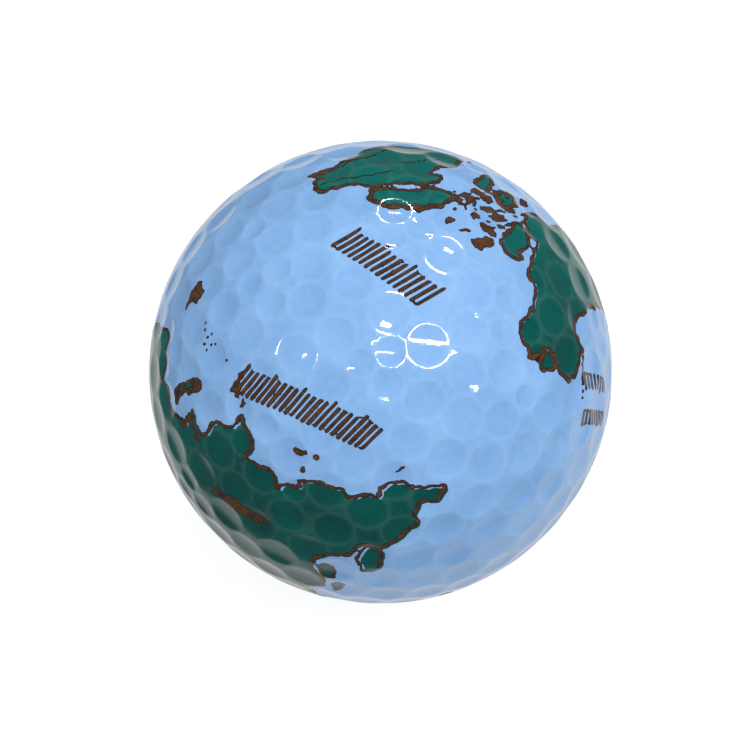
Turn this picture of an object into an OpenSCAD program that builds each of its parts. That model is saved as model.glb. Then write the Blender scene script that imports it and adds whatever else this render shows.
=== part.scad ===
/* [Ball] */
// Diameter over the finished surface, clear of the dimples
ball_d = 42.67; // [42.67:0.01:52]
// Diameter of the solid rubber core
core_d = 38.6; // [30:0.1:41]

/* [Coats] */
// Thickness of the coloured ground coat on the cover
ground_coat_t = 0.06; // [0.05:0.01:0.1]
// Thickness of the clear coat over the ground coat
clear_coat_t = 0.06; // [0.05:0.01:0.1]

/* [Dimples] */
// Depth of each dimple below the round surface of the ball
dimple_depth = 0.2; // [0.16:0.01:0.26]
// Rim diameter of the large dimples
large_dimple_d = 3.7; // [3:0.05:3.7]
// Rim diameter of the medium dimples
medium_dimple_d = 3.55; // [2.9:0.05:3.6]
// Rim diameter of the small dimples
small_dimple_d = 2.85; // [2.2:0.05:2.9]
// Rim diameter of the filling dimples, which close the gaps between the rows
filling_dimple_d = 2.6; // [2:0.05:2.6]
// Rim diameter of the smallest dimples
smallest_dimple_d = 2.3; // [1.9:0.05:2.4]

/* [Mould] */
// Turn of the front mould half about the mould axis, in degrees
front_half_turn = 7.5; // [0:0.5:36]
// Turn of the rear mould half against the front one, in degrees
half_offset = 18; // [0:1:36]

/* [Hidden] */
$fn = 96;
ball_fn = 240;

ball_r = ball_d / 2;
core_r = core_d / 2;
// Depths of the two inner surfaces below the finished one
ground_coat_depth = clear_coat_t;
cover_depth = clear_coat_t + ground_coat_t;
rear_half_turn = front_half_turn + half_offset;

// The dimple plan of a mould half is a wedge that repeats five times round the mould axis.
// Each wedge is mirrored about its middle.
wedges = 5;
wedge_angle = 360 / wedges;
edge = wedge_angle / 2;

// Each dimple: degrees above the parting line, degrees from the wedge's middle, rim diameter.
// Those on the wedge's middle or edge stand alone, and the others come in mirrored pairs.
PLAN = [
  [80, edge, large_dimple_d],
  [73.5, 0, large_dimple_d],
  [69.75, edge, large_dimple_d],
  [64.5, 13.5, large_dimple_d],
  [59.5, edge, large_dimple_d],
  [56.75, 0, medium_dimple_d],
  [54.75, 19.5, medium_dimple_d],
  [49.25, edge, large_dimple_d],
  [45.25, 14.5, large_dimple_d],
  [45, 0, large_dimple_d],
  [41, 27.25, large_dimple_d],
  [35.75, 8.5, medium_dimple_d],
  [33.75, edge, medium_dimple_d],
  [32.75, 20, large_dimple_d],
  [31.75, 0, smallest_dimple_d],
  [26, 28.75, large_dimple_d],
  [24.5, 5.5, medium_dimple_d],
  [23.25, 16, medium_dimple_d],
  [19.75, edge, small_dimple_d],
  [16.25, 4, filling_dimple_d],
  [14.5, 23.5, large_dimple_d],
  [14, 12.5, medium_dimple_d],
  [13, 32.25, filling_dimple_d],
  [8.75, 0, small_dimple_d],
  [5.25, 8.25, medium_dimple_d],
  [5, 19.75, medium_dimple_d],
  [5, 29.5, medium_dimple_d]
];

function sides(angle) = (angle == 0 || angle == edge) ? [1] : [1, -1];

// A dimple is the bite of a sphere whose centre lies outside the ball.
function rim_height(rim_d) = sqrt(ball_r * ball_r - rim_d * rim_d / 4);
function bite_depth(rim_d) = dimple_depth - (ball_r - rim_height(rim_d));
function bite_r(rim_d) = (rim_d * rim_d / 4 + bite_depth(rim_d) * bite_depth(rim_d)) / (2 * bite_depth(rim_d));
function bite_centre(rim_d) = ball_r - dimple_depth + bite_r(rim_d);

// How far a cutter stands clear of the rim, sideways and above the surface
cutter_margin = 0.01;
cutter_height = 1;

// One dimple cutter on the +Z axis, for the surface at the given depth inside the ball.
module dimple_cutter(rim_d, depth) {
  intersection() {
    translate([0, 0, bite_centre(rim_d)])
      sphere(r = bite_r(rim_d) + depth);
    translate([0, 0, ball_r - cutter_height])
      cylinder(r = rim_d / 2 + cutter_margin, h = 1.2 * cutter_height);
  }
}

// Cutters of a whole mould half, with its pole on the +Z axis.
module half_plan(depth) {
  dimple_cutter(medium_dimple_d, depth);
  for (dimple = PLAN, wedge = [0 : wedges - 1], side = sides(dimple[1]))
    rotate([0, 90 - dimple[0], wedge * wedge_angle + side * dimple[1]])
      dimple_cutter(dimple[2], depth);
}

// Turns a mould half, made with its pole on +Z, to face the rear (+Y) or the front (-Y).
module rear() {
  rotate([-90, 0, 0])
    rotate([0, 0, rear_half_turn])
      children();
}

module front() {
  rotate([-90, 0, 0])
    rotate([0, 0, front_half_turn])
      mirror([0, 0, 1])
        children();
}

// Everything below the parting plane of a mould half whose pole is on +Z.
module other_side() {
  translate([0, 0, -ball_d])
    cylinder(r = ball_d, h = ball_d);
}

// Half of the moulded cover: a thick dimpled bowl whose flat rim is the parting line.
module cover_half() {
  difference() {
    sphere(r = ball_r - cover_depth, $fn = ball_fn);
    sphere(r = core_r, $fn = ball_fn);
    other_side();
    half_plan(cover_depth);
  }
}

// Half of a film between two depths below the finished surface; both its faces follow the dimples.
module film_half(outer_depth, inner_depth) {
  difference() {
    difference() {
      sphere(r = ball_r - outer_depth, $fn = ball_fn);
      other_side();
      half_plan(outer_depth);
    }
    difference() {
      sphere(r = ball_r - inner_depth, $fn = ball_fn);
      half_plan(inner_depth);
    }
  }
}

// A closed film over the whole ball.
module film(outer_depth, inner_depth) {
  front() film_half(outer_depth, inner_depth);
  rear() film_half(outer_depth, inner_depth);
}

module core() {
  color("DimGray")
    sphere(r = core_r, $fn = ball_fn);
}

module cover_front_half() {
  color("WhiteSmoke")
    front() cover_half();
}

module cover_rear_half() {
  color("WhiteSmoke")
    rear() cover_half();
}

// The sky-blue paint, one closed film over both cover halves.
module ground_coat() {
  color("CornflowerBlue")
    film(ground_coat_depth, cover_depth);
}

// The clear lacquer over the paint and the printed map.
module clear_coat() {
  color("LightCyan", 0.3)
    film(0, ground_coat_depth);
}

core();
cover_front_half();
cover_rear_half();
ground_coat();
clear_coat();
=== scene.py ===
import math

import bpy
import numpy as np
from mathutils import Matrix, Vector
from mathutils.geometry import delaunay_2d_cdt


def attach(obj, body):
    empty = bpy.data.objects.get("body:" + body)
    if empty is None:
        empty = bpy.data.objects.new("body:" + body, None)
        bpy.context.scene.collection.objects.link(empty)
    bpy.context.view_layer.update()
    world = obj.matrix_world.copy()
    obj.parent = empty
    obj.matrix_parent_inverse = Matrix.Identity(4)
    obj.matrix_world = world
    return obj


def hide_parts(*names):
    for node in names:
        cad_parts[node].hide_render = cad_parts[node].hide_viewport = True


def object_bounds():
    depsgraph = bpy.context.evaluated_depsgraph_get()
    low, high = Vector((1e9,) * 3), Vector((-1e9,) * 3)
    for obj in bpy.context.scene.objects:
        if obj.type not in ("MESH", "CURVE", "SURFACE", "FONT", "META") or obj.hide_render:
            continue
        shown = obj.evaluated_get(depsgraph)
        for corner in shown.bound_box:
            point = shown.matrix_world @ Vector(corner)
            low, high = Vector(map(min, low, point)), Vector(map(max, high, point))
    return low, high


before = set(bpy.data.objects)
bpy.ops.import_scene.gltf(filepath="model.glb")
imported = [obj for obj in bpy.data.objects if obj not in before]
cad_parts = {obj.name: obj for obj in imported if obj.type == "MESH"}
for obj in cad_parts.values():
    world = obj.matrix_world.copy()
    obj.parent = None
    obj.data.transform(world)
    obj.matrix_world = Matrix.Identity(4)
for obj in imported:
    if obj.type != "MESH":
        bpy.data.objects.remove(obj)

cad_box = [list(corner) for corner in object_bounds()]
scene = bpy.context.scene

# The camera looks steeply down on the ball from its front left side, from ten
# ball radii away, and leans a little to the left.
ball_r = cad_box[1][2]
camera_out = Vector((-0.1777, -0.28338, 0.9424))
camera_up = Vector((0.31836, 0.88959, 0.32753))
camera_right = Vector((0.93117, -0.35822, 0.06786))
lens = bpy.data.cameras.new("camera")
lens.lens = 110.35
lens.sensor_width = 36
lens.shift_x = -0.0062
lens.shift_y = -0.0054
lens.clip_start = 0.01
camera = bpy.data.objects.new("camera", lens)
scene.collection.objects.link(camera)
turned = Matrix((camera_right, camera_up, camera_out)).transposed().to_4x4()
camera.matrix_world = Matrix.Translation(camera_out * 10 * ball_r) @ turned
scene.camera = camera

# The core is a solid ball of black rubber, pressed hot in a round mould. It is
# ground rough all over so that the cover grips it.


def new_group(name, inputs, outputs):
    """A shader node group with those float or colour sockets, and its two end nodes."""
    group = bpy.data.node_groups.new(name, "ShaderNodeTree")
    for socket, value in inputs:
        kind = "NodeSocketColor" if isinstance(value, tuple) else "NodeSocketFloat"
        made = group.interface.new_socket(socket, in_out="INPUT", socket_type=kind)
        made.default_value = value
    for socket, kind in outputs:
        group.interface.new_socket(socket, in_out="OUTPUT", socket_type=kind)
    return group, group.nodes.new("NodeGroupInput"), group.nodes.new("NodeGroupOutput")


# Cloudy mottling: two sizes of cloud that move a colour between two shades, and
# the same clouds as a height for the surface.
mottling, ends_in, ends_out = new_group(
    "mottling",
    [
        ("Light shade", (0.5, 0.5, 0.5, 1)),
        ("Dark shade", (0.2, 0.2, 0.2, 1)),
        ("Clouds per metre", 300.0),
        ("Specks per metre", 3000.0),
        ("Speck share", 0.3),
    ],
    [("Shade", "NodeSocketColor"), ("Height", "NodeSocketFloat")],
)
place = mottling.nodes.new("ShaderNodeTexCoord")
clouds = mottling.nodes.new("ShaderNodeTexNoise")
clouds.inputs["Detail"].default_value = 3
specks = mottling.nodes.new("ShaderNodeTexNoise")
specks.inputs["Detail"].default_value = 2
both = mottling.nodes.new("ShaderNodeMix")
spread = mottling.nodes.new("ShaderNodeMapRange")
spread.inputs["From Min"].default_value = 0.35
spread.inputs["From Max"].default_value = 0.65
shade = mottling.nodes.new("ShaderNodeMix")
shade.data_type = "RGBA"
for source, sink in [
    (place.outputs["Object"], clouds.inputs["Vector"]),
    (place.outputs["Object"], specks.inputs["Vector"]),
    (ends_in.outputs["Clouds per metre"], clouds.inputs["Scale"]),
    (ends_in.outputs["Specks per metre"], specks.inputs["Scale"]),
    (ends_in.outputs["Speck share"], both.inputs["Factor"]),
    (clouds.outputs["Fac"], both.inputs["A"]),
    (specks.outputs["Fac"], both.inputs["B"]),
    (both.outputs["Result"], spread.inputs["Value"]),
    (spread.outputs["Result"], shade.inputs["Factor"]),
    (ends_in.outputs["Dark shade"], shade.inputs[6]),
    (ends_in.outputs["Light shade"], shade.inputs[7]),
    (shade.outputs[2], ends_out.inputs["Shade"]),
    (spread.outputs["Result"], ends_out.inputs["Height"]),
]:
    mottling.links.new(source, sink)


def finish_of(name, light, dark, clouds, specks, share, roughness, relief):
    """A material with mottled colour and a surface that is uneven by the relief, in metres."""
    material = bpy.data.materials.new(name)
    material.use_nodes = True
    nodes, links = material.node_tree.nodes, material.node_tree.links
    shader = nodes["Principled BSDF"]
    shader.inputs["Roughness"].default_value = roughness
    cloudy = nodes.new("ShaderNodeGroup")
    cloudy.node_tree = mottling
    cloudy.inputs["Light shade"].default_value = (*light, 1)
    cloudy.inputs["Dark shade"].default_value = (*dark, 1)
    cloudy.inputs["Clouds per metre"].default_value = clouds
    cloudy.inputs["Specks per metre"].default_value = specks
    cloudy.inputs["Speck share"].default_value = share
    uneven = nodes.new("ShaderNodeBump")
    uneven.inputs["Distance"].default_value = relief
    links.new(cloudy.outputs["Shade"], shader.inputs["Base Color"])
    links.new(cloudy.outputs["Height"], uneven.inputs["Height"])
    links.new(uneven.outputs["Normal"], shader.inputs["Normal"])
    return material


def dress(node, material):
    """Gives a CAD node that stays its finish."""
    node.data.materials.clear()
    node.data.materials.append(material)


rubber = finish_of(
    "ground_black_rubber", (0.06, 0.058, 0.055), (0.02, 0.02, 0.02), 500, 9000, 0.6, 0.75, 0.00004
)
dress(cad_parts["core"], rubber)

# The cover is two bowls of white resin, pressed together round the core so that
# they meet at the parting line. The mould gives them all their dimples.
resin = finish_of(
    "moulded_white_resin", (0.83, 0.82, 0.78), (0.74, 0.73, 0.69), 250, 5000, 0.35, 0.4, 0.000004
)
dress(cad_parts["cover_front_half"], resin)
dress(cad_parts["cover_rear_half"], resin)

# The skin of the ball is sky-blue paint under clear lacquer, sprayed over the
# whole cover. It runs down into every dimple and softens the edges between them.
dimple_depth = 0.0002
large, medium, small, filling, smallest = 0.0037, 0.00355, 0.00285, 0.0026, 0.0023
wedges = 5
wedge_angle = 360 / wedges
half_wedge = wedge_angle / 2
front_turn = 7.5
rear_turn = front_turn + 18
# Each dimple: degrees above the parting line, degrees from the wedge's middle, rim diameter.
dimple_rows = [
    (80, half_wedge, large),
    (73.5, 0, large),
    (69.75, half_wedge, large),
    (64.5, 13.5, large),
    (59.5, half_wedge, large),
    (56.75, 0, medium),
    (54.75, 19.5, medium),
    (49.25, half_wedge, large),
    (45.25, 14.5, large),
    (45, 0, large),
    (41, 27.25, large),
    (35.75, 8.5, medium),
    (33.75, half_wedge, medium),
    (32.75, 20, large),
    (31.75, 0, smallest),
    (26, 28.75, large),
    (24.5, 5.5, medium),
    (23.25, 16, medium),
    (19.75, half_wedge, small),
    (16.25, 4, filling),
    (14.5, 23.5, large),
    (14, 12.5, medium),
    (13, 32.25, filling),
    (8.75, 0, small),
    (5.25, 8.25, medium),
    (5, 19.75, medium),
    (5, 29.5, medium),
]
centres = [(0, 1, 0), (0, -1, 0)]
rims = [medium, medium]
for side, turn in ((1, rear_turn), (-1, front_turn)):
    for above, off, rim in dimple_rows:
        for wedge in range(wedges):
            for sign in (1, -1) if 0 < off < half_wedge else (1,):
                up = math.radians(above)
                round_angle = math.radians(turn + wedge * wedge_angle + sign * off)
                centres.append(
                    (
                        math.cos(up) * math.cos(round_angle),
                        side * math.sin(up),
                        -math.cos(up) * math.sin(round_angle),
                    )
                )
                rims.append(rim)
centres = np.array(centres)
rims = np.array(rims)

# Each dimple is the bite of a sphere whose centre lies outside the ball.
bite_depth = dimple_depth - (ball_r - np.sqrt(ball_r**2 - rims**2 / 4))
bite_r = (rims**2 / 4 + bite_depth**2) / (2 * bite_depth)
bite_out = ball_r - dimple_depth + bite_r
rim_angle = np.arcsin(rims / 2 / ball_r)
edge_softness = 0.000016


def skin_surface(ways):
    """Distance from the centre, normal, and how near the crest of a dimple's edge, in each direction."""
    reach = np.full(len(ways), ball_r)
    normals = ways.copy()
    crests = np.zeros(len(ways))
    for start in range(0, len(ways), 8000):
        part = slice(start, start + 8000)
        way = ways[part]
        along = (way @ centres.T) * bite_out
        inside = along**2 - (bite_out**2 - bite_r**2)
        hit = (inside > 0) & (along > 0)
        near = np.where(hit, along - np.sqrt(np.where(hit, inside, 0)), 1.0)
        lowest = np.minimum(near.min(1), ball_r)
        weight = np.exp(-(near - lowest[:, None]) / edge_softness)
        plain = np.exp(-(ball_r - lowest) / edge_softness)
        total = plain + weight.sum(1)
        reach[part] = lowest - edge_softness * np.log(total)
        crests[part] = 2 - 2 * (plain**2 + (weight**2).sum(1)) / total**2
        point, dimple = np.nonzero(weight > 0.0001)
        facing = centres[dimple] * bite_out[dimple, None]
        facing = facing - near[point, dimple, None] * way[point]
        facing /= (facing * way[point]).sum(1)[:, None]
        mixed = way * plain[:, None]
        np.add.at(mixed, point, weight[point, dimple, None] * facing)
        normals[part] = mixed / np.linalg.norm(mixed, axis=1)[:, None]
    return reach, normals, crests


neighbours_within = 0.36


def rings(shares, counts):
    """Points round every dimple, at shares of its rim's angle, that no other dimple covers."""
    found = [centres]
    for number, centre in enumerate(centres):
        across = np.cross(centre, (0.31, 0.52, 0.79))
        across /= np.linalg.norm(across)
        up = np.cross(centre, across)
        others = np.linalg.norm(centres - centre, axis=1) < neighbours_within
        others[number] = False
        for ring, (share, count) in enumerate(zip(shares, counts)):
            turn = (np.arange(count) + 0.5 * (ring % 2)) * math.tau / count
            circle = np.outer(np.cos(turn), across) + np.outer(np.sin(turn), up)
            angle = rim_angle[number] * share
            points = math.cos(angle) * centre + math.sin(angle) * circle
            if share > 0.99:
                apart = np.arccos(np.clip(points @ centres[others].T, -1, 1))
                points = points[(apart > rim_angle[others] * (share + 0.01)).all(1)]
            found.append(points)
    return np.concatenate(found)


def land_points(count, clear):
    """Even points over the lands between the dimples."""
    steps = np.arange(count) + 0.5
    height = 1 - 2 * steps / count
    turn = steps * math.pi * (3 - math.sqrt(5))
    wide = np.sqrt(1 - height**2)
    points = np.stack([wide * np.cos(turn), height, wide * np.sin(turn)], 1)
    kept = [
        (part @ centres.T < np.cos(rim_angle * clear)).all(1)
        for part in np.array_split(points, 20)
    ]
    return points[np.concatenate(kept)]


def cover_with_triangles(ways):
    """Triangles over the whole ball. The flat plan is seen from the last point, which closes it."""
    pole = ways[-1]
    across = np.cross(pole, (0.2, 0.3, 0.9))
    across /= np.linalg.norm(across)
    up = np.cross(pole, across)
    lift = 1 - ways[:-1] @ pole
    flat = np.stack([ways[:-1] @ across / lift, ways[:-1] @ up / lift], 1)
    plan = delaunay_2d_cdt([Vector(point) for point in flat.tolist()], [], [], 0, 1e-9)
    owner = np.array([source[0] for source in plan[3]])
    faces = owner[np.array(plan[2])]
    sides = np.concatenate([faces[:, [0, 1]], faces[:, [1, 2]], faces[:, [2, 0]]])
    known = set(map(tuple, sides.tolist()))
    open_sides = [side for side in sides.tolist() if (side[1], side[0]) not in known]
    cap = [(side[1], side[0], len(ways) - 1) for side in open_sides]
    faces = np.concatenate([faces, np.array(cap)])
    a, b, c = (ways[faces[:, corner]] for corner in range(3))
    inward = (np.cross(b - a, c - a) * a).sum(1) < 0
    faces[inward] = faces[inward][:, ::-1]
    return faces


def build(name, points, normals, faces, material, marks):
    """A smooth-shaded piece with those vertex normals and marks, which rides on the ball."""
    mesh = bpy.data.meshes.new(name)
    mesh.from_pydata(points.tolist(), [], faces.tolist())
    mesh.polygons.foreach_set("use_smooth", np.ones(len(mesh.polygons), bool))
    mesh.normals_split_custom_set_from_vertices(normals.tolist())
    for mark, values in marks.items():
        kept = mesh.attributes.new(mark, "FLOAT", "POINT")
        kept.data.foreach_set("value", values.astype(np.float32))
    mesh.materials.append(material)
    piece = bpy.data.objects.new(name, mesh)
    scene.collection.objects.link(piece)
    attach(piece, "root")
    return piece


def with_last(points, last):
    """The points with the last one at the end, and no copy of it among the others."""
    others = np.linalg.norm(points - last, axis=1) > 1e-6
    return np.concatenate([points[others], last[None]])


# The lowest dimple's middle closes the plan of triangles, out of sight.
lowest_centre = centres[np.argmin(centres[:, 2])]
outer_rings = rings((0.28, 0.55, 0.78, 0.91, 0.965, 1, 1.035), (8, 14, 22, 30, 34, 34, 34))
outer = with_last(np.concatenate([outer_rings, land_points(16000, 1.1)]), lowest_centre)
outer_faces = cover_with_triangles(outer)
inner = with_last(rings((0.5, 0.8, 1), (7, 12, 14)), lowest_centre)
inner_faces = cover_with_triangles(inner)
film_thickness = 0.0001
outer_reach, outer_normals, outer_crests = skin_surface(outer)
inner_reach, inner_normals, inner_crests = skin_surface(inner)
sky_blue = finish_of(
    "sky_blue_paint_under_lacquer",
    (0.23, 0.425, 0.73),
    (0.185, 0.36, 0.655),
    260,
    1500,
    0.35,
    0.05,
    0.000005,
)


def paler_crests_thin_paint_and_highlight(material, pale, share):
    """Paint and ink draw thin over the crests between dimples and look paler there; the paler colour is also
    a painted highlight along the dimple rims.
    """
    nodes, links = material.node_tree.nodes, material.node_tree.links
    shader = nodes["Principled BSDF"]
    source = shader.inputs["Base Color"].links[0].from_socket
    crest = nodes.new("ShaderNodeAttribute")
    crest.attribute_name = "crest"
    amount = nodes.new("ShaderNodeMath")
    amount.operation = "MULTIPLY"
    amount.inputs[1].default_value = share
    thin_paint_and_highlight = nodes.new("ShaderNodeMix")
    thin_paint_and_highlight.data_type = "RGBA"
    thin_paint_and_highlight.inputs[7].default_value = (*pale, 1)
    links.new(crest.outputs["Fac"], amount.inputs[0])
    links.new(amount.outputs["Value"], thin_paint_and_highlight.inputs["Factor"])
    links.new(source, thin_paint_and_highlight.inputs[6])
    links.new(thin_paint_and_highlight.outputs[2], shader.inputs["Base Color"])


# Paler blue on the dimple crests: partly thin paint, partly a painted highlight.
paler_crests_thin_paint_and_highlight(sky_blue, (0.5, 0.66, 0.86), 0.09)
skin = build(
    "painted_skin",
    np.concatenate([outer * outer_reach[:, None], inner * (inner_reach - film_thickness)[:, None]]),
    np.concatenate([outer_normals, -inner_normals]),
    np.concatenate([outer_faces, inner_faces[:, ::-1] + len(outer)]),
    sky_blue,
    {"crest": np.concatenate([outer_crests, inner_crests])},
)
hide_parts("ground_coat", "clear_coat")

# The lands are teal-green ink, pad-printed on the dry paint before the lacquer.
# The pad lands a little off its place, so the green doesn't meet the coast lines
# everywhere.
random_draw = np.random.default_rng(7)


def ragged(outline, closed, rough=0.11, finest=0.7):
    """The outline with its long stretches broken into small uneven steps, in degrees."""
    points = [np.array(point, float) for point in outline]
    if closed:
        points.append(points[0])
    while True:
        longer = [points[0]]
        for start, end in zip(points, points[1:]):
            step = end - start
            length = np.hypot(*step)
            if length > finest:
                bend = np.clip(random_draw.normal(), -1.8, 1.8) * rough
                longer.append((start + end) / 2 + bend * np.array((-step[1], step[0])))
            longer.append(end)
        if len(longer) == len(points):
            return np.array(points)
        points = longer


def on_ball(flat, below=False):
    """Directions of points given as degrees right and back from the top, or from the bottom."""
    flat = np.asarray(flat, float)
    away = np.radians(np.hypot(flat[:, 0], flat[:, 1]))
    share = np.sin(away) / np.maximum(away, 1e-9) * math.pi / 180
    high = -np.cos(away) if below else np.cos(away)
    return np.stack([flat[:, 0] * share, flat[:, 1] * share, high], 1)


def chart_of(ways, below=False):
    """The same degrees for given directions."""
    high = -ways[:, 2] if below else ways[:, 2]
    away = np.degrees(np.arccos(np.clip(high, -1, 1)))
    share = away / np.maximum(np.hypot(ways[:, 0], ways[:, 1]), 1e-9)
    return ways[:, :2] * share[:, None]


def line_field(ways, line, half_widths, reach=1.2):
    """Degrees inside a stroke of those half widths, in each direction; far away it is -reach."""
    field = np.full(len(ways), -reach)
    for start in range(0, len(line) - 1, 6):
        part = line[start : start + 7]
        middle = part.mean(0)
        span = np.linalg.norm(part - middle, axis=1).max() + math.radians(reach)
        close = np.nonzero(((ways - middle) ** 2).sum(1) < span**2)[0]
        if len(close) == 0:
            continue
        for one in range(len(part) - 1):
            step = part[one + 1] - part[one]
            from_start = ways[close] - part[one]
            share = np.clip(from_start @ step / (step @ step + 1e-15), 0, 1)
            apart = np.degrees(np.linalg.norm(from_start - share[:, None] * step, axis=1))
            wide = half_widths[start + one] * (1 - share) + half_widths[start + one + 1] * share
            field[close] = np.maximum(field[close], wide - apart)
    return field


def area_field(ways, outline, below=False, moved=(0, 0)):
    """Degrees inside a closed outline, and less than zero outside it."""
    corners = outline + np.array(moved)
    flat = chart_of(ways, below)
    low, high = corners.min(0), corners.max(0)
    close = np.nonzero(((flat > low) & (flat < high)).all(1))[0]
    x, y = flat[close].T
    crossings = np.zeros(len(close), int)
    for start, end in zip(corners, np.roll(corners, -1, axis=0)):
        if start[1] == end[1]:
            continue
        level = (y > start[1]) != (y > end[1])
        crossings += level & (x < start[0] + (y - start[1]) * (end[0] - start[0]) / (end[1] - start[1]))
    inside = np.zeros(len(ways), bool)
    inside[close] = crossings % 2 == 1
    ring = on_ball(np.concatenate([corners, corners[:1]]), below)
    distance = -line_field(ways, ring, np.zeros(len(ring)))
    return np.where(inside, distance, -distance)


greens, lines, blots = [], [], []


def coast(outline, closed=True, green=None, width=0.5, below=False, rough=0.11):
    """A brown coast line; green is how far its green ink landed from it, or None for none."""
    points = ragged(outline, closed, rough)
    widths = width * np.clip(random_draw.normal(0.85, 0.25, len(points)), 0.5, 1.5)
    lines.append((on_ball(points, below), widths))
    if green is not None:
        greens.append((points, below, green))


def blot(outline, below=False):
    """A small place that the brown ink fills."""
    blots.append((ragged(outline, True, 0.13, 0.5), below))


def dot(x, y, radius):
    """A round spot of brown ink."""
    turn = np.arange(7) * math.tau / 7
    uneven = radius * random_draw.uniform(0.75, 1.25, 7)
    blot(np.stack([x + uneven * np.cos(turn), y + uneven * np.sin(turn)], 1))


def scale_marks(start, end, count, lean, length, below=False):
    """A plain graduated scale: a base line with slanted marks, every fifth one longer."""
    start, end, lean = np.array(start), np.array(end), np.array(lean) / np.hypot(*lean)
    base = np.array([start, end])
    lines.append((on_ball(base - lean * length / 2, below), [0.3, 0.3]))
    for number in range(count):
        foot = start + (end - start) * number / (count - 1) - lean * length / 2
        tall = length if number % 5 == 0 else length * 0.85
        mark = on_ball(np.array([foot, foot + lean * tall / 2, foot + lean * tall]), below)
        lines.append((mark, random_draw.uniform(0.4, 0.56, 3)))


# Siberia and the rest of Asia and Europe, which run round the left side of the ball.
arctic_coast = [
    (-61, -10.5), (-59.5, -11), (-58, -10.6), (-56.5, -9.4), (-54.5, -9.8), (-53, -11),
    (-51.5, -12.7), (-50, -13.4), (-48.3, -13.2), (-47.8, -12), (-46.2, -12), (-46.8, -13.6),
    (-46.4, -15.5), (-46.3, -18.5), (-47.3, -20.5), (-49, -21.2), (-50.5, -21.5), (-49.5, -23),
    (-48.5, -24.5), (-47, -26.2), (-45.2, -27.2), (-44.6, -29), (-45, -31), (-45.4, -33.2),
    (-43.8, -32.6), (-42, -33.4), (-40.5, -34.8), (-39.3, -34.6), (-38.8, -33.2), (-37, -34),
    (-35, -35), (-33.3, -35.8), (-32.5, -37.3), (-31, -38.4), (-29.5, -39), (-28.6, -40.3),
    (-28.2, -41.8), (-26.5, -42.5), (-24, -42.8), (-22.4, -43.3), (-21.2, -44.5), (-20, -43.6),
    (-19.8, -42.3), (-17.5, -42), (-15, -42.5), (-12.8, -43.8), (-11.3, -45), (-9, -46.2),
    (-6.8, -46.4), (-4.5, -47), (-3.7, -47.8), (-4.8, -49), (-6, -50.8), (-7.5, -50.8),
    (-9.5, -49.8), (-11.5, -49.5), (-12, -50.6), (-13.6, -52), (-13, -54.5), (-14.8, -56),
    (-18, -57.6), (-20.5, -58.6), (-24, -59.2), (-26.5, -58.8), (-28.8, -57.2), (-30, -56.4),
    (-32, -56.8), (-34, -58.2), (-36, -58.7), (-39, -57.6), (-42, -56.7), (-44.5, -57),
    (-47, -58.3), (-48.5, -59), (-49, -61), (-48.5, -63.5), (-47.5, -66), (-48, -67),
    (-50.5, -70.8), (-53, -70.5), (-57, -69.5), (-58, -74),
]
far_coast = [
    (-60, -82), (-57, -90), (-62, -97), (-72, -98), (-78, -106), (-86, -104), (-88, -94),
    (-97, -92), (-106, -96), (-112, -86), (-108, -76), (-116, -70), (-122, -56), (-118, -44),
    (-127, -34), (-130, -18), (-120, -8), (-124, 8), (-134, 22), (-128, 36), (-112, 40), (-104, 50),
    (-92, 50), (-86, 42), (-77, 43),
]
west_coast = [
    (-70, 38), (-66, 31), (-64, 28.8), (-62.5, 27), (-62, 24), (-62.8, 21.5), (-64.5, 20), (-66, 18),
    (-68.5, 15.5), (-69.5, 12), (-68.6, 9.5), (-69.5, 8), (-71, 6.5), (-70.5, 3), (-68.8, 0), (-67, -2.5),
    (-68, -4.5), (-66, -3.6), (-64.5, -3.3), (-62.5, -3.4), (-60.8, -3), (-61.8, -5), (-62, -7), (-61.5, -9),
]
coast(arctic_coast + far_coast + west_coast, green=(0.7, -0.9), width=0.55)
coast(
    [(-25.8, -59.4), (-25.8, -62), (-27, -65), (-28.7, -66.8), (-31, -67.4), (-33.3, -66.2), (-33, -64),
     (-33.4, -61.8), (-32, -60), (-30, -58.4), (-28.8, -57.2)],
    green=(0.9, -0.9), width=0.56,
)
coast(
    [(-46.5, -60), (-44.5, -60.2), (-42.8, -62), (-42.4, -65), (-43.8, -67), (-45.3, -66.5), (-47, -65),
     (-46.5, -62)],
    green=(0.5, -0.5),
)
coast([(-47.5, -75.5), (-46, -71), (-43.5, -70.5), (-42.8, -73), (-45, -75)], green=(0.3, -0.3))
for ragged_ink in [
    [(-66, -3), (-64.5, -6), (-65, -10), (-63, -12), (-62.3, -9), (-63.3, -6), (-62, -4), (-61, -5.5),
     (-61.5, -3.2), (-64, -2.6)],
    [(-67.5, -24.1), (-64.1, -27.2), (-60.1, -31.3), (-57.4, -36), (-54.4, -39.7), (-53.8, -42),
     (-58.3, -40.7), (-61.6, -35.9), (-64.7, -31.2), (-68.1, -27.1)],
]:
    blot(ragged_ink)

# The islands north of Siberia.
coast(
    [(-66.5, 3), (-65.5, 5.8), (-62, 5.9), (-58.5, 4.8), (-56, 3.6), (-54.5, 2), (-55.5, 0.8), (-57.5, 1.6),
     (-59.8, 2), (-61, 3.6), (-63.5, 4), (-65.5, 3)],
    green=(0.4, -0.4), width=0.62,
)
blot([(-62, 4.5), (-59, 3.6), (-56, 2.6), (-55.2, 1.6), (-57.6, 2.2), (-60, 3)])
blot(
    [(-52, 24.5), (-50.5, 26.5), (-48, 28.6), (-45.5, 29.5), (-43.8, 28.5), (-44.6, 26.5), (-44.2, 25),
     (-46, 23.5), (-47.5, 22.8), (-48.6, 24.6), (-50.5, 24.8)]
)
blot(
    [(-41, -2.2), (-42.5, -2.2), (-44.5, -3.5), (-45.8, -5), (-46.2, -7.2), (-45.2, -8.2), (-44, -6.8),
     (-43, -5), (-41.5, -3.8)]
)
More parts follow.
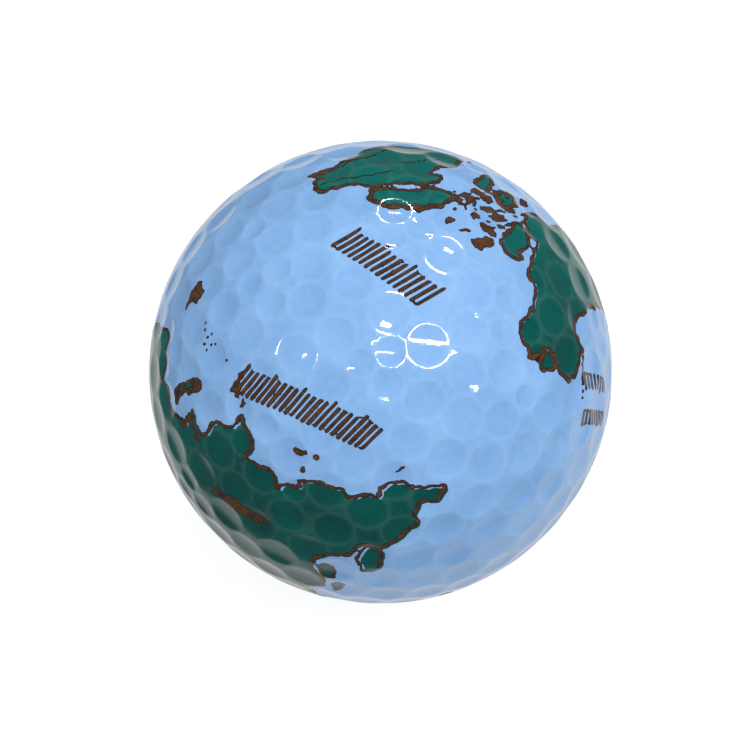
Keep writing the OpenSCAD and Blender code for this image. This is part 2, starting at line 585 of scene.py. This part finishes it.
blot([(-44, -8.2), (-45, -9), (-46.2, -9.8), (-45, -10.4), (-44, -10)])
blot([(-36, -25), (-37, -25.6), (-36.8, -27), (-35.3, -28), (-33.8, -28), (-33.6, -26.8), (-35, -26.2)])
blot([(-14.8, -40.2), (-13.6, -40.2), (-12, -39.5), (-12.1, -39.1), (-13.4, -39.2), (-14.7, -39.7)])
for x, y, radius in [
    (-47.5, 14, 0.5), (-46.6, 15.6, 0.4), (-47.3, 11.4, 0.5), (-45.8, 11.3, 0.4), (-49, 10.4, 0.5),
    (-49.2, 8.7, 0.4), (-47.3, 9, 0.45), (-46, 8.4, 0.4), (-44.3, 2.5, 0.5), (-32, -29.4, 0.9),
    (-36.5, -31, 0.8),
]:
    dot(x, y, radius)

# Greenland, and the islands between it and the American mainland.
coast(
    [(-6.8, 42.6), (-4.5, 42.3), (0, 42.8), (4, 44.5), (9, 46.2), (12.5, 48.3), (18, 49), (22, 49.5),
     (30, 44), (34, 42), (36, 40), (35.5, 38), (33, 35.5), (30, 34.2), (27, 33.7), (25.5, 33.6), (24, 32.5),
     (22, 31.2), (22.5, 30.5), (23.8, 29.5), (23.8, 28), (22, 26.8), (19, 26.6), (16.5, 27), (13.5, 28.5),
     (10, 28.8), (7, 29.4), (5, 30), (3.8, 31.2), (2.5, 32.4), (0, 33), (-3, 33.6), (-5.5, 33.7), (-7, 35),
     (-7.2, 36.6), (-6.6, 39), (-5.2, 39.5), (-4, 39.8), (-5.5, 41)],
    green=(0.5, 0.2), width=0.62,
)
blot([(-6.5, 42.4), (-4.5, 41.8), (-1, 42.2), (3, 43.6), (8, 45.4), (8.6, 46.2), (3.5, 44.8), (0, 43.4)])
coast(
    [(3.3, 26.5), (4.5, 28.3), (6.5, 28.3), (9, 27.5), (13, 26), (16, 25), (19, 25), (21.5, 24),
     (23.5, 23), (24.5, 21.8), (25, 20), (24, 19.3), (22, 19.8), (20, 19), (18, 18.5), (15, 18.6),
     (12.5, 18.3), (13, 19.8), (10.5, 19.5), (8.5, 21), (7, 22), (5, 23.7), (3.5, 25)],
    green=(0.4, 0.3), width=0.7, rough=0.16,
)
for island in [
    [(17.3, 13.2), (18, 14.2), (20, 15.2), (21, 14.2), (19.8, 13.4)],
    [(24.5, 16), (26, 17.8), (27, 18.2), (28.5, 17.9), (29.5, 20.3), (28.5, 22.4), (26.5, 22.4),
     (25.2, 21.5), (26.5, 20), (26, 18.8), (24.6, 17.2)],
    [(25, 13), (25, 14.8), (26.5, 15.6), (28, 14.4), (27.5, 13.2)],
    [(45, 19), (46, 21), (47.5, 22), (49, 21), (48.6, 19.4), (46.5, 19.2)],
    [(41, 14), (42.4, 13.9), (43.6, 15), (42.2, 15.3)],
    [(19.5, 10.6), (21.5, 10.9), (23, 9.8), (21.2, 9.9)],
    [(31, 10.8), (32.5, 10.9), (33.5, 9.6), (32, 9.8)],
    [(38, 38), (39, 39.4), (40, 39), (39.6, 38)],
    [(30.1, 23.5), (31.8, 23.9), (32.6, 22), (34.2, 20.3), (34.4, 18.4), (32.7, 17.7),
     (31.4, 19), (30.6, 21.1), (29.7, 22.2)],
    [(29.6, 17.4), (31.3, 17.3), (33.1, 16.6), (35.5, 16), (35.1, 15), (32.8, 14.6),
     (30.6, 15.3), (29.4, 16.1)],
    [(31.1, 14.2), (33.4, 14.6), (35.2, 13.9), (34.8, 12.6), (32.7, 11.9), (31, 12.5)],
    [(36.8, 16.9), (39.2, 17.5), (40.9, 16.4), (39.3, 14.7), (37.3, 15.1)],
    [(35.6, 19.2), (38, 20), (37.2, 18.2), (35.2, 17.4)],
    [(26.2, 11.6), (27.9, 11.7), (29.3, 10.3), (29.6, 8.2), (28.8, 6.9), (27.5, 7.5),
     (27.1, 8.8), (26.1, 9.9)],
    [(22, 7.7), (24.3, 7.9), (26.4, 8), (27.9, 6.8), (27.7, 5.4), (25.8, 4.7), (23.7, 4),
     (22.6, 5), (21.9, 6.1)],
]:
    blot(island)
for number in range(30):
    x, y = 24 + 17 * random_draw.random(), 9.5 + 14.5 * random_draw.random()
    long, thin = random_draw.uniform(0.8, 1.7), random_draw.uniform(0.4, 0.8)
    blot([(x - long, y), (x, y + thin), (x + long, y + 0.3), (x + 0.2, y - thin)])
dot(22, 17, 0.6)
dot(27.7, 16.3, 0.5)
coast(
    [(33, 26.5), (34.5, 27.8), (37, 29.2), (40, 31.3), (41, 30), (39, 26.5), (37, 24.5), (35, 23.8),
     (33.5, 24.8)],
    green=(0.3, -0.3), width=0.56,
)
coast(
    [(36, 22), (39, 23), (43, 22.5), (43.4, 20), (42, 18), (38, 16), (36.6, 19)],
    green=(0.3, -0.3), width=0.8,
)
coast(
    [(29.5, 5.5), (31, 6.5), (33.5, 8.5), (36, 10), (38, 11.6), (39.5, 10.5), (39.6, 7.5), (38.8, 5),
     (37, 3.5), (35, 3), (33.8, 2.2), (34.2, 0.6), (32.5, 0.5), (30.5, 1.8), (29.3, 2.8), (29.6, 4)],
    green=(0.4, -0.3), width=0.56,
)

for inland in [
    [(-5.5, 37), (-1, 36.2), (4, 35.2), (9, 35), (13, 33.6)],
    [(2, 42), (7, 43.2), (13, 45), (18, 45.6)],
    [(16, 38), (20, 37), (25, 37.6), (29, 39)],
]:
    coast(inland, closed=False, width=0.26)

# The American mainland, from the ice sea down round the right side.
coast(
    [(26, -16.5), (27, -15.2), (29, -14.5), (31, -12.5), (32.5, -10.5), (34, -9), (35, -7.5), (34.5, -5),
     (34.8, -2.5), (36.5, -1), (37, 0.5), (39, 2.6), (41, 4), (42.5, 5.5), (41, 6.8), (41, 9), (41.8, 11),
     (43, 13.5), (44, 15.2), (46, 16), (48, 16.2), (50, 14.3), (52, 12.8), (54, 12.5), (60, 15), (66, 13),
     (73, 18), (82, 16), (90, 10), (97, 9), (104, -1), (113, -5), (120, -13), (113, -16), (101, -14),
     (90, -17), (78, -15), (70, -11), (64, -12), (58, -12.6), (54, -13.4), (52.5, -14.6), (50, -15.2),
     (48, -16), (45.8, -18), (44.6, -19.8), (45.2, -21.5), (46.5, -25), (45.8, -25), (44.2, -25.8),
     (43.8, -27.5), (42, -29.8), (39.2, -31), (38, -32), (37, -30.8), (35.5, -29.5), (34.6, -27.5),
     (34.6, -24.5), (33.8, -24), (33, -22.6), (31, -22.8), (29.5, -23.7), (27.5, -24.3), (26, -23.6),
     (26.5, -21), (25.6, -18.5)],
    green=(0.5, -0.4), width=0.6,
)
coast(
    [(30, -25), (29.4, -27.5), (31, -27.6), (33.5, -27.7), (34.2, -25.8), (33.6, -24), (32, -23.4)],
    green=(0.3, -0.3), width=0.56,
)
blot([(46.8, -25.3), (46.6, -27.5), (45.4, -31), (44.8, -34), (43.9, -34), (44.2, -31), (45, -28)])
dot(44.3, -35.6, 0.5)
dot(43.8, -37.3, 0.45)

# The southern lands, on the side that the ball rests on.
coast(
    [(118, -14), (126, -3), (136, 4), (146, -4), (150, -16), (148, -30), (141, -43), (131, -45),
     (124, -31), (116, -23)],
    green=(0.4, 0.4),
)
coast(
    [(-44, 96), (-58, 90), (-72, 93), (-80, 103), (-75, 113), (-76, 127), (-62, 138), (-52, 128),
     (-50, 114), (-40, 106)],
    green=(-0.5, 0.4),
)
coast(
    [(10, -124), (20, -119), (24, -125), (30, -122), (38, -134), (32, -146), (20, -142), (10, -148),
     (3, -139)],
    green=(0.4, -0.5),
)
coast(
    [(16, 2), (14, 9), (6, 14), (-4, 12), (-9, 15), (-15, 9), (-17, 0), (-12, -8), (-3, -9), (4, -13),
     (12, -9)],
    green=(0.3, 0.4), below=True,
)
for x, y, size in [
    (60, -84, 2), (84, -66, 1.6), (30, -98, 1.8), (-6, -104, 2.2), (-20, -112, 2.6), (40, 92, 1.5)
]:
    corners = [(-1, 0), (0, 0.7), (1.3, 0.2), (0.4, -0.8)]
    coast([(x + size * right, y + size * back) for right, back in corners], green=(0.2, 0.2))

scale_marks((-6, 17), (6.5, -4), 16, (0.975, 0.22), 7.8)
scale_marks((-42.5, -3.5), (-17, -30), 24, (0.92, 0.39), 7.8)
scale_marks((46, -33), (59, -36), 8, (-0.1, -1), 4.2)
scale_marks((44, -43), (58, -46), 9, (-0.1, -1), 4.2)
scale_marks((-10, 100), (14, 100), 8, (0.2, 1), 6)
scale_marks((100, 40), (88, 62), 8, (0.9, 0.3), 6)


stroke_step = 0.4
blot_step = 0.38
cell = 0.0042


def fine_points():
    """A close net of points along the strokes, so that their edges come out clean."""
    made = []
    for line, widths in lines:
        for start, end, wide in zip(line, line[1:], widths):
            length = np.linalg.norm(end - start)
            count = max(1, round(math.degrees(length) / stroke_step))
            along = (end - start) / max(length, 1e-9)
            across = np.cross(start, along)
            for share in (np.arange(count) + 0.5) / count:
                for off in (-0.55, -0.18, 0.18, 0.55):
                    jitter = random_draw.uniform(-0.04, 0.04, 2)
                    made.append(
                        start + (end - start) * (share + jitter[0] / count)
                        + across * math.radians(off + jitter[1])
                    )
    for outline, below in blots:
        low, high = outline.min(0) - 0.5, outline.max(0) + 0.5
        across, up = np.meshgrid(*(np.arange(a, b, blot_step) for a, b in zip(low, high)))
        net = np.stack([across.ravel(), up.ravel()], 1)
        made.extend(on_ball(net + random_draw.uniform(-0.05, 0.05, net.shape), below))
    made = np.array(made)
    made /= np.linalg.norm(made, axis=1)[:, None]
    # One point is kept in each small cell.
    cells = np.round(made / cell).astype(int)
    first = np.unique(cells, axis=0, return_index=True)[1]
    return made[first]


print_ways = np.concatenate([fine_points(), outer])
print_faces = cover_with_triangles(print_ways)
green_field = np.full(len(print_ways), -1.0)
for outline, below, moved in greens:
    green_field = np.maximum(green_field, area_field(print_ways, outline, below, moved))
brown_field = np.full(len(print_ways), -1.0)
for line, widths in lines:
    brown_field = np.maximum(brown_field, line_field(print_ways, line, widths))
for outline, below in blots:
    brown_field = np.maximum(brown_field, area_field(print_ways, outline, below))


ink_sunk_in = 0.00001


def printed(name, field, lift, material):
    """A thin closed layer of ink over the skin where the field is above zero."""
    values = field[print_faces]
    whole = (values > 0).all(1)
    cut = ~whole & (values > 0).any(1)
    ways = [print_ways]
    marks = [field]
    new_points, corner_at, faces = [], {}, print_faces[whole].tolist()

    def crossing(inner, outer_one):
        key = (inner, outer_one)
        if key not in corner_at:
            share = field[inner] / (field[inner] - field[outer_one])
            share = min(max(share, 0.04), 0.96)
            way = print_ways[inner] * (1 - share) + print_ways[outer_one] * share
            corner_at[key] = len(print_ways) + len(new_points)
            new_points.append(way / np.linalg.norm(way))
        return corner_at[key]

    for a, b, c in print_faces[cut].tolist():
        kept = [field[a] > 0, field[b] > 0, field[c] > 0]
        if sum(kept) == 1:
            while not kept[0]:
                a, b, c = b, c, a
                kept = kept[1:] + kept[:1]
            faces.append((a, crossing(a, b), crossing(a, c)))
        else:
            while kept[0]:
                a, b, c = b, c, a
                kept = kept[1:] + kept[:1]
            near, far = crossing(b, a), crossing(c, a)
            faces.append((near, b, c))
            faces.append((near, c, far))
    ways = np.concatenate([print_ways, np.array(new_points)])
    marks = np.concatenate([field, np.zeros(len(new_points))])
    faces = np.array(faces)
    used, faces = np.unique(faces, return_inverse=True)
    faces = faces.reshape(-1, 3)
    ways, marks = ways[used], marks[used]
    reach, normals, crests = skin_surface(ways)
    sides = np.concatenate([faces[:, [0, 1]], faces[:, [1, 2]], faces[:, [2, 0]]])
    known = set(map(tuple, sides.tolist()))
    rim = np.array([side for side in sides.tolist() if (side[1], side[0]) not in known])
    count = len(ways)
    walls = np.concatenate(
        [
            np.stack([rim[:, 1], rim[:, 0], rim[:, 0] + count], 1),
            np.stack([rim[:, 1], rim[:, 0] + count, rim[:, 1] + count], 1),
        ]
    )
    top = ways * reach[:, None] + normals * lift
    bottom = ways * reach[:, None] - normals * ink_sunk_in
    build(
        name,
        np.concatenate([top, bottom]),
        np.concatenate([normals, -normals]),
        np.concatenate([faces, faces[:, ::-1] + count, walls]),
        material,
        {"distance_in": np.concatenate([marks, marks]), "crest": np.concatenate([crests, crests])},
    )


teal = finish_of(
    "teal_green_map_ink", (0.0, 0.078, 0.068), (0.0, 0.05, 0.046), 300, 2500, 0.35, 0.05, 0.000005
)
nodes, links = teal.node_tree.nodes, teal.node_tree.links
# The green is made lighter towards the ball's +Y side, up in the picture.
place = nodes.new("ShaderNodeTexCoord")
split = nodes.new("ShaderNodeSeparateXYZ")
toward_top_share = nodes.new("ShaderNodeMapRange")
toward_top_share.inputs["From Min"].default_value = -0.35 * ball_r
toward_top_share.inputs["From Max"].default_value = 0.35 * ball_r
lighter_to_top = nodes.new("ShaderNodeMix")
lighter_to_top.data_type = "RGBA"
lighter_to_top.blend_type = "ADD"
lighter_to_top.inputs[7].default_value = (0.0, 0.045, 0.04, 1)
links.new(place.outputs["Object"], split.inputs["Vector"])
links.new(split.outputs["Y"], toward_top_share.inputs["Value"])
links.new(toward_top_share.outputs["Result"], lighter_to_top.inputs["Factor"])
links.new(nodes["Group"].outputs["Shade"], lighter_to_top.inputs[6])
links.new(lighter_to_top.outputs[2], nodes["Principled BSDF"].inputs["Base Color"])
# Paler green on the dimple crests: partly thin ink, partly a painted highlight.
paler_crests_thin_paint_and_highlight(teal, (0.12, 0.24, 0.21), 0.13)
printed("printed_lands", green_field, 0.000012, teal)

# The coast lines and the scale marks are brown ink, printed last. It draws back
# from the middle of each stroke, so the edges dry darker.
brown = finish_of(
    "brown_line_ink", (0.115, 0.048, 0.02), (0.03, 0.016, 0.012), 700, 3000, 0.55, 0.05, 0.000005
)
nodes, links = brown.node_tree.nodes, brown.node_tree.links
depth_in = nodes.new("ShaderNodeAttribute")
depth_in.attribute_name = "distance_in"
rim_share = nodes.new("ShaderNodeMapRange")
rim_share.inputs["From Min"].default_value = 0.08
rim_share.inputs["From Max"].default_value = 0.3
darker = nodes.new("ShaderNodeMix")
darker.data_type = "RGBA"
darker.inputs[6].default_value = (0.022, 0.011, 0.009, 1)
links.new(depth_in.outputs["Fac"], rim_share.inputs["Value"])
links.new(rim_share.outputs["Result"], darker.inputs["Factor"])
links.new(nodes["Group"].outputs["Shade"], darker.inputs[7])
links.new(darker.outputs[2], nodes["Principled BSDF"].inputs["Base Color"])
printed("printed_lines", brown_field, 0.00002, brown)

# The floor is a plain sheet of pale card under the ball. It shines faintly and
# evenly, and only the camera sees it.
floor_mesh = bpy.data.meshes.new("floor")
half = 0.6
low = -ball_r - 0.00003
floor_mesh.from_pydata(
    [(-half, -half, low), (half, -half, low), (half, half, low), (-half, half, low)],
    [],
    [(0, 1, 2, 3)],
)
floor = bpy.data.objects.new("floor", floor_mesh)
scene.collection.objects.link(floor)
pale_card = finish_of("pale_card", (0.3, 0.3, 0.3), (0.25, 0.25, 0.25), 20, 300, 0.3, 0.9, 0.00001)
card_shader = pale_card.node_tree.nodes["Principled BSDF"]
card_shader.inputs["Emission Color"].default_value = (1, 1, 1, 1)
card_shader.inputs["Emission Strength"].default_value = 0.82
floor_mesh.materials.append(pale_card)
floor.visible_glossy = False
floor.visible_diffuse = False

# The light is a white dome, brighter high up. The gloss of the lacquer sees it as
# a dark room instead, with one bright patch low down behind the ball.
world = bpy.data.worlds.new("soft_dome")
world.use_nodes = True
dome, dome_links = world.node_tree.nodes, world.node_tree.links
dome["Background"].inputs["Color"].default_value = (1, 1, 1, 1)
way_in = dome.new("ShaderNodeTexCoord")
height = dome.new("ShaderNodeSeparateXYZ")
wash = dome.new("ShaderNodeMapRange")
wash.inputs["From Min"].default_value = -1
wash.inputs["To Min"].default_value = 0.38
wash.inputs["To Max"].default_value = 0.95
patch_middle = camera_right * 0.12 - camera_up * 0.28 - camera_out * 0.95
toward_patch = dome.new("ShaderNodeVectorMath")
toward_patch.operation = "DOT_PRODUCT"
toward_patch.inputs[1].default_value = patch_middle.normalized()
patch = dome.new("ShaderNodeMapRange")
patch.interpolation_type = "SMOOTHSTEP"
patch.inputs["From Min"].default_value = 0.55
patch.inputs["From Max"].default_value = 0.68
patch.inputs["To Min"].default_value = 0.12
patch.inputs["To Max"].default_value = 0.75
ray = dome.new("ShaderNodeLightPath")
room = dome.new("ShaderNodeMix")
for source, sink in [
    (way_in.outputs["Generated"], height.inputs["Vector"]),
    (way_in.outputs["Generated"], toward_patch.inputs[0]),
    (height.outputs["Z"], wash.inputs["Value"]),
    (toward_patch.outputs["Value"], patch.inputs["Value"]),
    (ray.outputs["Is Glossy Ray"], room.inputs["Factor"]),
    (wash.outputs["Result"], room.inputs["A"]),
    (patch.outputs["Result"], room.inputs["B"]),
    (room.outputs["Result"], dome["Background"].inputs["Strength"]),
]:
    dome_links.new(source, sink)
scene.world = world

# One soft fill light shines on the paint. Five small bright lamps show only in
# the gloss, as sharp spots, bars and rings of light at the dimple edges.


def lamp(name, way, distance, wide, tall, watts, along, mirrored=True):
    """A flat lamp that faces the ball; along is the direction of its long side."""
    light = bpy.data.lights.new(name, "AREA")
    light.shape = "RECTANGLE"
    light.size = wide
    light.size_y = tall
    light.energy = watts
    made = bpy.data.objects.new(name, light)
    made.visible_glossy = mirrored
    made.visible_diffuse = not mirrored
    scene.collection.objects.link(made)
    out = Vector(way).normalized()
    side = Vector(along)
    side = (side - out * side.dot(out)).normalized()
    turned = Matrix((side, out.cross(side), out)).transposed().to_4x4()
    made.matrix_world = Matrix.Translation(out * distance) @ turned


def seen(x, y, z):
    """A direction given as right, up and out of the picture."""
    return camera_right * x + camera_up * y + camera_out * z


lamp("soft_fill", seen(0.3, 0.38, 0.87), 0.7, 0.5, 0.5, 3.0, seen(1, 0, 0), mirrored=False)
lamp("long_tube", seen(0.34, 0.18, 0.92), 0.6, 0.42, 0.010, 2.4, seen(1, -0.12, -0.4))
lamp("ceiling_lamp", seen(0.11, 0.56, 0.82), 0.6, 0.06, 0.03, 0.8, seen(1, -0.3, 0))
lamp("side_lamp", seen(0.42, 0.78, 0.46), 0.6, 0.05, 0.022, 0.7, seen(1, -0.6, 0))
lamp("far_lamp", seen(0.08, 0.99, 0.1), 0.6, 0.11, 0.012, 0.6, seen(1, -0.1, 0))
lamp("left_lamp", seen(-0.69, 0.15, 0.7), 0.6, 0.03, 0.01, 0.12, seen(1, 0.4, 0))

scene.view_settings.view_transform = "Standard"
